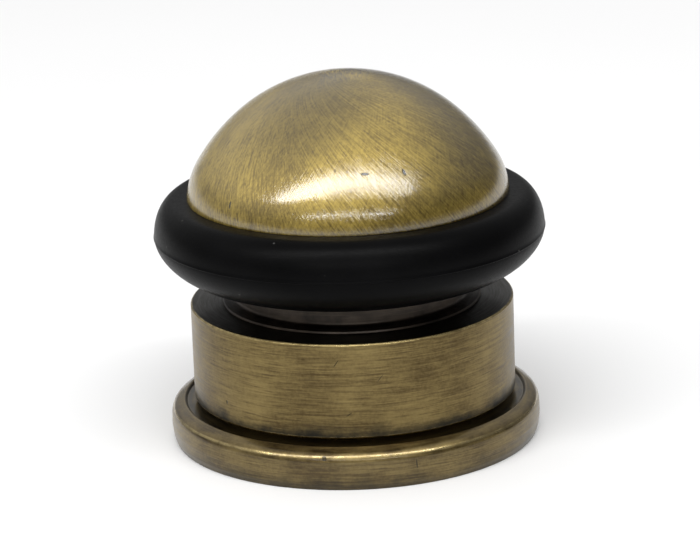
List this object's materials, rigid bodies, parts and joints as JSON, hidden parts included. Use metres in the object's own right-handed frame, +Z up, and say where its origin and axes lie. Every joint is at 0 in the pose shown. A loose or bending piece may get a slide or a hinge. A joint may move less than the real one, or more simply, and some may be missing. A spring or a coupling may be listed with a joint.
{
  "type": "floor door stop",
  "caption": "Round floor-mounted door stop with a domed brass head, a rubber buffer ring, a drum body and a wider base flange over a concealed fixing cup.",
  "frame": {"origin": "centre of the underside, on the floor", "axes": "+Z up through the centre of the dome; the lock screw faces +Y, the back"},
  "size_m": [0.042, 0.042, 0.0398],
  "materials": {
    "antique_brass": "brushed antique brass under clear lacquer",
    "blackened_brass": "dark unbrushed patina",
    "black_rubber": "smooth moulded black rubber",
    "zinc_steel": "bright zinc plate",
    "black_steel": "black oxide",
    "white_nylon": "natural nylon"
  },
  "bodies": {
    "floor_fixing": {"fixing_cup": "zinc_steel"},
    "stop_body": {"base_flange": "antique_brass", "drum_body": "antique_brass", "neck_collar": "blackened_brass", "clamp_bolt": "zinc_steel", "bolt_washer": "zinc_steel", "lock_washer": "zinc_steel", "collar_nut": "zinc_steel"},
    "set_screw": {"lock_screw": "black_steel"},
    "buffer": {"buffer_ring": "black_rubber"},
    "head_carrier": {"slip_washer": "white_nylon"},
    "head": {"head_dome": "antique_brass"}
  },
  "joints": [
    {"name": "stop_lift", "type": "slide", "parent": "floor_fixing", "child": "stop_body", "axis": [0, 0, 1], "range_m": [0, 0.012]},
    {"name": "lock_screw_travel", "type": "slide", "parent": "stop_body", "child": "set_screw", "axis": [0, 1, 0], "range_m": [0, 0.0028]},
    {"name": "ring_turn", "type": "hinge", "parent": "stop_body", "child": "buffer", "pos_m": [0, 0, 0.0226], "axis": [0, 0, 1], "continuous": true},
    {"name": "head_lift", "type": "slide", "parent": "stop_body", "child": "head_carrier", "axis": [0, 0, 1], "range_m": [0, 0.009]},
    {"name": "head_turn", "type": "hinge", "parent": "head_carrier", "child": "head", "pos_m": [0, 0, 0.03], "axis": [0, 0, 1], "range_deg": [0, 3240]}
  ],
  "couplings": [
    {"joint": "head_turn", "follows": "head_lift", "rad_per_m": 6283.2}
  ]
}
